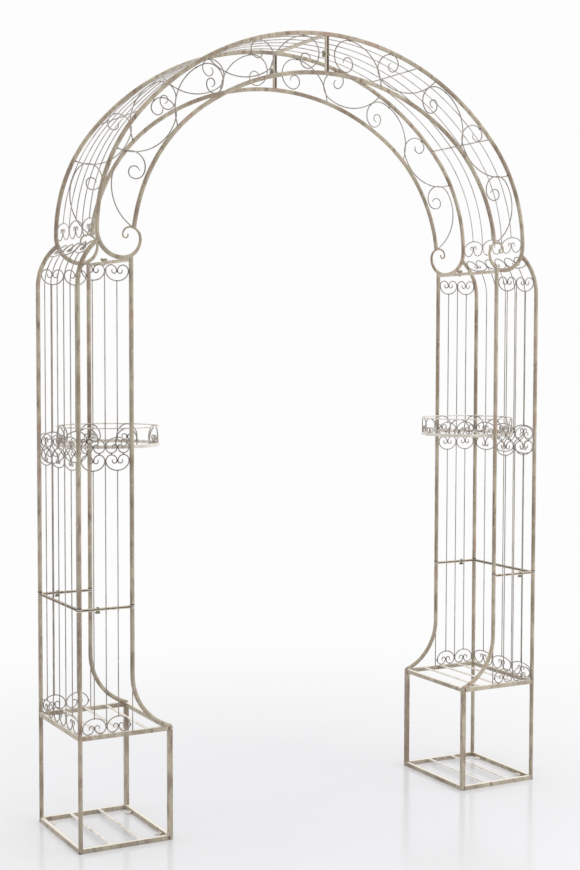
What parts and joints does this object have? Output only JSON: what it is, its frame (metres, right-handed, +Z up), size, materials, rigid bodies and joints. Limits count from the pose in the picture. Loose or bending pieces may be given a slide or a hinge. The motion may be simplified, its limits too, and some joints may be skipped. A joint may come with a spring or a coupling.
{
  "type": "garden rose arch with planter bases and pot rings",
  "caption": "Free-standing garden arch of bent steel tube: two narrow lattice towers on open planter boxes, joined by a double arch with scrollwork; a pot ring on each tower.",
  "frame": {"origin": "on the ground, at the middle of the passage", "axes": "+Z up, +X across the passage towards the right tower, +Y through the passage, away from the viewer"},
  "size_m": [1.613, 0.349, 2.3965],
  "materials": {
    "tube_frame": "antique cream paint, rubbed and glazed brown",
    "lattice_wire": "antique taupe paint over thin wire"
  },
  "bodies": {
    "root": {"crown_cross_tubes": "tube_frame", "crown_joint_bars": "tube_frame", "left_arch_back_inner_tube": "tube_frame", "left_arch_back_outer_tube": "tube_frame", "left_arch_back_scrollwork": "lattice_wire", "left_arch_front_inner_tube": "tube_frame", "left_arch_front_outer_tube": "tube_frame", "left_arch_front_scrollwork": "lattice_wire", "left_base_bottom_frame": "tube_frame", "left_base_inner_legs": "tube_frame", "left_base_top_frame": "tube_frame", "left_lower_back_panel": "lattice_wire", "left_lower_front_panel": "lattice_wire", "left_lower_inner_posts": "tube_frame", "left_lower_outer_posts": "tube_frame", "left_lower_side_panel": "lattice_wire", "left_pot_holder": "lattice_wire", "left_roof_crown_lattice": "lattice_wire", "left_roof_eave_lattice": "lattice_wire", "left_roof_slope_lattice": "lattice_wire", "left_top_bar": "tube_frame", "left_upper_back_panel": "lattice_wire", "left_upper_front_panel": "lattice_wire", "left_upper_inner_posts": "tube_frame", "left_upper_outer_posts": "tube_frame", "left_upper_side_panel": "lattice_wire", "right_arch_back_inner_tube": "tube_frame", "right_arch_back_outer_tube": "tube_frame", "right_arch_back_scrollwork": "lattice_wire", "right_arch_front_inner_tube": "tube_frame", "right_arch_front_outer_tube": "tube_frame", "right_arch_front_scrollwork": "lattice_wire", "right_base_bottom_frame": "tube_frame", "right_base_inner_legs": "tube_frame", "right_base_top_frame": "tube_frame", "right_lower_back_panel": "lattice_wire", "right_lower_front_panel": "lattice_wire", "right_lower_inner_posts": "tube_frame", "right_lower_outer_posts": "tube_frame", "right_lower_side_panel": "lattice_wire", "right_pot_holder": "lattice_wire", "right_roof_crown_lattice": "lattice_wire", "right_roof_eave_lattice": "lattice_wire", "right_roof_slope_lattice": "lattice_wire", "right_top_bar": "tube_frame", "right_upper_back_panel": "lattice_wire", "right_upper_front_panel": "lattice_wire", "right_upper_inner_posts": "tube_frame", "right_upper_outer_posts": "tube_frame", "right_upper_side_panel": "lattice_wire"}
  },
  "joints": []
}
